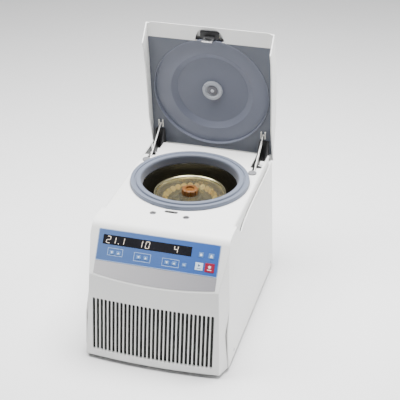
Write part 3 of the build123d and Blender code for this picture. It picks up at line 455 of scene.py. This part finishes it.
def build_display():
    low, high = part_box("display_window")
    _, middle, _ = centre_of("display_window")
    out = window_height()
    for name, figures in READOUTS.items():
        outlines = []
        for figure, share in figures:
            x = low.x + share * (high.x - low.x) - DIGIT_W / 2
            outlines += digit(figure, x, middle - DIGIT_H / 2)
        prisms(name, outlines, out, LIT, "housing")
    point = low.x + POINT_SHARE * (high.x - low.x)
    dot = [disc_outline(point, middle - DIGIT_H / 2 + POINT_UP, POINT_R)]
    prisms("readout_point", dot, out, LIT, "housing")


def window_height():
    """How far the window stands proud of the foil."""
    points = [panel_place(v.co)[2] for v in NODES["display_window"].data.vertices]
    return max(points)


# Printed graphics
GROUPS = {  # printed outlines round groups of keys: the keys, and the room left, right, below, above in mm
    "outline_speed": (("key_speed_down", "key_speed_up"), (4, 4, 2.5, 5)),
    "outline_time": (("key_time_down", "key_time_up"), (5, 5, 4.5, 5)),
    "outline_temperature": (("key_temperature_down", "key_temperature_up"), (5, 5, 4, 4)),
}
LINE, BORDER_INSET = 0.9 * MM, 0.4 * MM


def key_span(keys):
    """(left, low, right, high) on the panel of several keys' tops."""
    points = [panel_place(v.co) for key in keys for v in NODES[key].data.vertices]
    tops = [p for p in points if p[2] > 0]
    across, up = [p[0] for p in tops], [p[1] for p in tops]
    return min(across), min(up), max(across), max(up)


def build_prints():
    for name, (keys, room) in GROUPS.items():
        left, low, right, high = key_span(keys)
        room = [r * MM for r in room]
        lines = frame_lines(left - room[0], low - room[2], right + room[1], high + room[3], LINE)
        prisms(name, lines, 0, PRINT_PALE, "housing")
    points = [panel_place(v.co) for v in NODES["control_foil"].data.vertices]
    half, top = max(p[0] for p in points), max(p[1] for p in points)
    inset = BORDER_INSET
    border = frame_lines(-half + inset, inset, half - inset, top - inset, LINE)
    prisms("foil_border", border, 0, PRINT_PALE, "housing")


def arrow(x, up, size, point):
    """A triangle that points up the slope (1) or down it (-1)."""
    return [(x - size, up - size * 0.8 * point), (x + size, up - size * 0.8 * point), (x, up + size * point)]


def build_key_marks():
    for key, part in NODES.items():
        if not key.startswith("key_"):
            continue
        left, low, right, high = key_span([key])
        x, up = (left + right) / 2, (low + high) / 2
        out = max(panel_place(v.co)[2] for v in part.data.vertices)
        outlines, look = key_mark(key, x, up)
        prisms(key.replace("key_", "mark_"), outlines, out, look, key + "_cap", PRINT_T / 2)


def key_mark(key, x, up):
    """What is printed on a key: its outlines and its ink."""
    size = 2.0 * MM
    if key.endswith("_up"):
        return [arrow(x, up, size, 1)], PRINT_WHITE
    if key.endswith("_down"):
        return [arrow(x, up, size, -1)], PRINT_WHITE
    if key == "key_lid":
        bar_low = box_outline(x - 3 * MM, up - 3 * MM, x + 3 * MM, up - 2.2 * MM)
        return [arrow(x, up + 0.6 * MM, 2.6 * MM, 1), bar_low], PRINT_WHITE
    if key == "key_pulse":
        return [disc_outline(x, up, 2.3 * MM)], PRINT_WHITE
    if key == "key_stop":
        low = box_outline(x - 4 * MM, up - 4.8 * MM, x + 4 * MM, up - 3.4 * MM)
        return [disc_outline(x, up + 1.5 * MM, 2.6 * MM), low], PRINT_WHITE
    if key == "key_start":
        play = [(x - 2.2 * MM, up - 0.8 * MM), (x + 3 * MM, up + 1.8 * MM), (x - 2.2 * MM, up + 4.4 * MM)]
        return [play, box_outline(x - 3.5 * MM, up - 4 * MM, x + 3.5 * MM, up - 3 * MM)], PRINT_DARK
    return [box_outline(x - 2 * MM, up - 0.5 * MM, x + 2 * MM, up + 0.5 * MM)], PRINT_WHITE


# Pieces the CAD leaves out -------------------------------------------------------------------------
LEAN_Y, BOW, BOW_LOSS = 0.0995, 8.0 * MM, 0.021  # the front's lean, its bow at the foot and its loss upwards
SCREEN_HALF, SCREEN_LOW, SCREEN_HIGH, SCREEN_T = 124 * MM, 14 * MM, 128 * MM, 1.6 * MM
BEHIND = 4.8 * MM  # from the face of the front to the screen


def build_slot_shade_sheet():
    """A bowed black sheet just behind the grille: painted shade seen through its slots."""
    low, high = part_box("main_cover")
    mesh = bmesh.new()
    columns, rows = 32, 8
    sheets = []
    for depth in (0, SCREEN_T):
        grid = []
        for j in range(rows + 1):
            z = SCREEN_LOW + (SCREEN_HIGH - SCREEN_LOW) * j / rows
            bow = BOW - BOW_LOSS * z
            line = []
            for i in range(columns + 1):
                x = SCREEN_HALF * (2 * i / columns - 1)
                y = low.y + (LEAN_Y + BOW_LOSS) * z + bow * (x / high.x) ** 2 + BEHIND + depth
                line.append(mesh.verts.new((x, y, low.z + z)))
            grid.append(line)
        sheets.append(grid)
    for grid in sheets:
        for j in range(rows):
            for i in range(columns):
                mesh.faces.new((grid[j][i], grid[j][i + 1], grid[j + 1][i + 1], grid[j + 1][i]))
    close_rim(mesh, *sheets)
    bmesh.ops.recalc_face_normals(mesh, faces=mesh.faces)
    as_piece("slot_shade_sheet", mesh, SLOT_SHADE_MAT, "housing")


def close_rim(mesh, front, back):
    """Joins the edges of two grids of vertices."""
    def rim(grid):
        right = [line[-1] for line in grid[1:]]
        left = [line[0] for line in grid[1:-1]]
        return grid[0] + right + grid[-1][-2::-1] + left[::-1]

    a, b = rim(front), rim(back)
    for i in range(len(a)):
        j = (i + 1) % len(a)
        mesh.faces.new((a[i], a[j], b[j], b[i]))


# near-black foam for the sheet that paints the shade behind the grille slots
SLOT_SHADE_MAT = foamed("slot_shade_foam", (0.02, 0.02, 0.02))
OPEN_ANGLE = math.radians(next(j for j in frame["joints"] if j["name"] == "lid_hinge")["range_deg"][1])
LID_OUT = Vector((0, -math.sin(OPEN_ANGLE), -math.cos(OPEN_ANGLE)))  # out of the lid's lining, at rest
LID_UP = Vector((0, -math.cos(OPEN_ANGLE), math.sin(OPEN_ANGLE)))
PANE = moulded("port_pane", (0.16, 0.16, 0.18), 0.2, depth=0.00001)
BUTTON = moulded("port_button", (0.55, 0.56, 0.6), 0.3, depth=0.00002)


def lathe(name, profile, centre, axis, side, look, body, steps=48):
    """A turned piece: profile is (radius, height) along axis from centre."""
    across = axis.cross(side)
    mesh = bmesh.new()
    rings = []
    for radius, height in profile:
        ring = []
        for i in range(steps):
            t = 2 * math.pi * i / steps
            spoke = side * math.cos(t) + across * math.sin(t)
            ring.append(mesh.verts.new(centre + axis * height + spoke * radius))
        rings.append(ring)
    for a, b in zip(rings, rings[1:]):
        for i in range(steps):
            j = (i + 1) % steps
            mesh.faces.new((a[i], a[j], b[j], b[i]))
    mesh.faces.new(rings[0])
    mesh.faces.new(rings[-1])
    bmesh.ops.recalc_face_normals(mesh, faces=mesh.faces)
    piece = as_piece(name, mesh, look, body)
    for face in piece.data.polygons:
        face.use_smooth = True
    return piece


def build_hook_plate():
    """The bright steel edge of the lid's hook."""
    blade = NODES["latch_hook"].data.vertices
    tip = max(v.co.dot(LID_OUT) for v in blade)
    near = [v.co for v in blade if v.co.dot(LID_OUT) > tip - 0.1 * MM]
    middle = sum(near, Vector()) / len(near)
    half_x = max(v.x for v in near) - 0.6 * MM
    up = [v.dot(LID_UP) for v in near]
    half_up, half_out = (max(up) - min(up)) / 2, 0.4 * MM
    mesh = bmesh.new()
    bmesh.ops.create_cube(mesh, size=1)
    for vert in mesh.verts:
        x, y, z = vert.co
        spot = middle + Vector((2 * half_x * x, 0, 0))
        vert.co = spot + LID_UP * (2 * half_up * z) + LID_OUT * (half_out * (1 + 2 * y))
    bmesh.ops.bevel(mesh, geom=mesh.edges[:], offset=0.3 * MM, segments=3, affect="EDGES", profile=0.5)
    bmesh.ops.recalc_face_normals(mesh, faces=mesh.faces)
    as_piece("hook_plate", mesh, LOOKS["bright_steel"], "lid")


PORT_STEP = 3.0 * MM  # from the port's rim down to its face
PANE_PROFILE = ((11.5, 0), (11.5, 0.5), (10.8, 0.9), (5, 1.3), (1, 1.35))  # (radius, height) in mm
BUTTON_PROFILE = ((3.6, 1.2), (3.6, 1.9), (2.9, 2.4), (0.8, 2.5))


def build_port():
    """The smoked pane in the lid's viewing port, with its middle button."""
    low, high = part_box("viewing_port")
    middle = (low + high) / 2
    rim = max((v.co - middle).dot(LID_OUT) for v in NODES["viewing_port"].data.vertices)
    face = middle + LID_OUT * (rim - PORT_STEP)
    right = Vector((1, 0, 0))
    pane = [(radius * MM, height * MM) for radius, height in PANE_PROFILE]
    lathe("port_pane", pane, face, LID_OUT, right, PANE, "lid")
    button = [(radius * MM, height * MM) for radius, height in BUTTON_PROFILE]
    lathe("port_button", button, face, LID_OUT, right, BUTTON, "lid")


# Studio ------------------------------------------------------------------------------------------
WORLD_COLOUR, WORLD_STRENGTH = (0.97, 0.98, 1.0, 1), 0.22
LIGHT_AIM = (0, 0, 0.3)
LIGHTS = {  # place, width of the disc in metres, watts
    "key_light": ((-0.9, -0.2, 1.9), 1.0, 46),
    "fill_light": ((1.75, 1.0, 1.0), 1.2, 34),
    "top_light": ((0.15, 0.15, 1.7), 1.0, 78),
}


def area_light(name, place, aim, size, power):
    data = bpy.data.lights.new(name, "AREA")
    data.shape, data.size, data.energy = "DISK", size, power
    lamp = bpy.data.objects.new(name, data)
    bpy.context.scene.collection.objects.link(lamp)
    lamp.location = place
    lamp.rotation_mode = "QUATERNION"
    lamp.rotation_quaternion = (Vector(aim) - Vector(place)).to_track_quat("-Z", "Y")


def build_studio():
    world = bpy.data.worlds.new("studio")
    world.use_nodes = True
    background = world.node_tree.nodes["Background"]
    background.inputs["Color"].default_value = WORLD_COLOUR
    background.inputs["Strength"].default_value = WORLD_STRENGTH
    bpy.context.scene.world = world
    for name, (place, size, power) in LIGHTS.items():
        area_light(name, place, LIGHT_AIM, size, power)


FLOOR_HALF, FLOOR_GAP = 9.0, 0.5 * MM  # the paper's half width, and how far it lies under the feet


def build_floor():
    """A wide sheet of studio paper."""
    mesh = bmesh.new()
    bmesh.ops.create_grid(mesh, x_segments=8, y_segments=8, size=FLOOR_HALF)
    data = bpy.data.meshes.new("studio_floor")
    mesh.to_mesh(data)
    mesh.free()
    look = Look("studio_paper", (0.88, 0.88, 0.88), 0.8)
    look.tint(look.noise(3, 2), (0.87, 0.87, 0.87), (0.89, 0.89, 0.89))
    look.rough(look.noise(40, 2), 0.75, 0.9)
    data.materials.append(look.material)
    floor = bpy.data.objects.new("studio_floor", data)
    bpy.context.scene.collection.objects.link(floor)
    floor.location.z = START_SIZE[0][2] - FLOOR_GAP


CAMERA_PLACE, CAMERA_AIM = Vector((0.5488, -1.8627, 1.3327)), Vector((0.03397, -0.008, 0.25594))
CAMERA_ROLL, CAMERA_LENS, SENSOR = 0.18, 100.6, 36  # degrees, mm, mm


def build_camera():
    data = bpy.data.cameras.new("camera")
    data.sensor_width, data.lens = SENSOR, CAMERA_LENS
    data.clip_end = 60
    camera = bpy.data.objects.new("camera", data)
    bpy.context.scene.collection.objects.link(camera)
    look = CAMERA_AIM - CAMERA_PLACE
    camera.location = CAMERA_PLACE
    camera.rotation_mode = "QUATERNION"
    turn = look.to_track_quat("-Z", "Y")
    turn.rotate(Quaternion(look, -math.radians(CAMERA_ROLL)))
    camera.rotation_quaternion = turn
    bpy.context.scene.camera = camera


finish_nodes()
build_display()
build_prints()
build_key_marks()
build_slot_shade_sheet()
build_port()
build_hook_plate()
build_studio()
build_floor()
build_camera()
